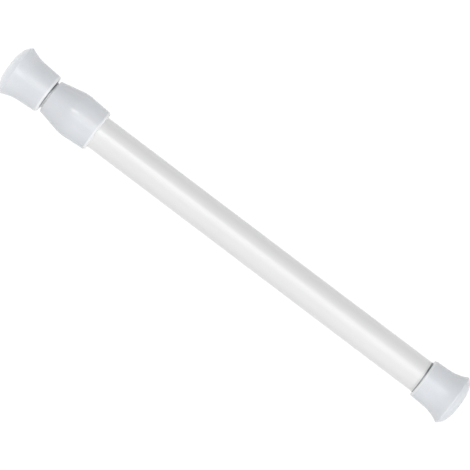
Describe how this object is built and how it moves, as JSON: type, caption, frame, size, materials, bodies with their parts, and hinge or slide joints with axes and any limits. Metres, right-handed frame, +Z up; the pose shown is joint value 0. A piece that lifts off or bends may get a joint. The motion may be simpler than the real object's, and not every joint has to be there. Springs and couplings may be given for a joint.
{
  "type": "spring tension rod",
  "caption": "White telescoping rod with flared soft feet and a tapered collar, pressed between two walls by an inner spring and held at its length by a twist lock.",
  "frame": {"origin": "centre of the outer foot's flat wall pad, where the rod meets the wall", "axes": "+X along the rod out of the outer foot's pad, with the inner foot at -X; +Z up, with the rod held level between two walls"},
  "size_m": [0.3, 0.0298, 0.0298],
  "materials": {
    "white_coat": "satin white coating on thin steel tube",
    "soft_white": "soft cool white moulding, satin",
    "white_plastic": "cool white moulding, semi-gloss",
    "nylon": "natural nylon, matte",
    "spring_steel": "drawn spring wire",
    "zinc_steel": "bright zinc plating"
  },
  "bodies": {
    "outer": {"outer_tube": "white_coat", "outer_foot": "soft_white", "collar": "white_plastic"},
    "bush": {"guide_bush": "nylon"},
    "inner": {"inner_tube": "white_coat", "inner_foot": "soft_white", "guide_plug": "nylon", "spring_stop": "nylon", "tension_spring": "spring_steel"},
    "shaft": {"lock_shaft": "nylon", "lock_washer": "zinc_steel", "lock_screw": "zinc_steel"},
    "ring": {"lock_ring": "nylon"}
  },
  "joints": [
    {"name": "twist", "type": "hinge", "parent": "outer", "child": "bush", "pos_m": [-0.2619, 0, 0], "axis": [1, 0, 0], "range_deg": [-80, 80]},
    {"name": "telescope", "type": "slide", "parent": "bush", "child": "inner", "axis": [-1, 0, 0], "range_m": [0, 0.2]},
    {"name": "spring_travel", "type": "slide", "parent": "inner", "child": "shaft", "axis": [-1, 0, 0], "range_m": [0, 0.018], "stiffness_N_per_m": 1500, "springref_m": -0.008, "deforming": ["tension_spring"]},
    {"name": "ring_turn", "type": "hinge", "parent": "shaft", "child": "ring", "pos_m": [-0.01585, 0, 0.0005], "axis": [1, 0, 0], "range_deg": [-80, 80]}
  ],
  "couplings": [
    {"joint": "ring_turn", "follows": "twist", "ratio": -1}
  ]
}
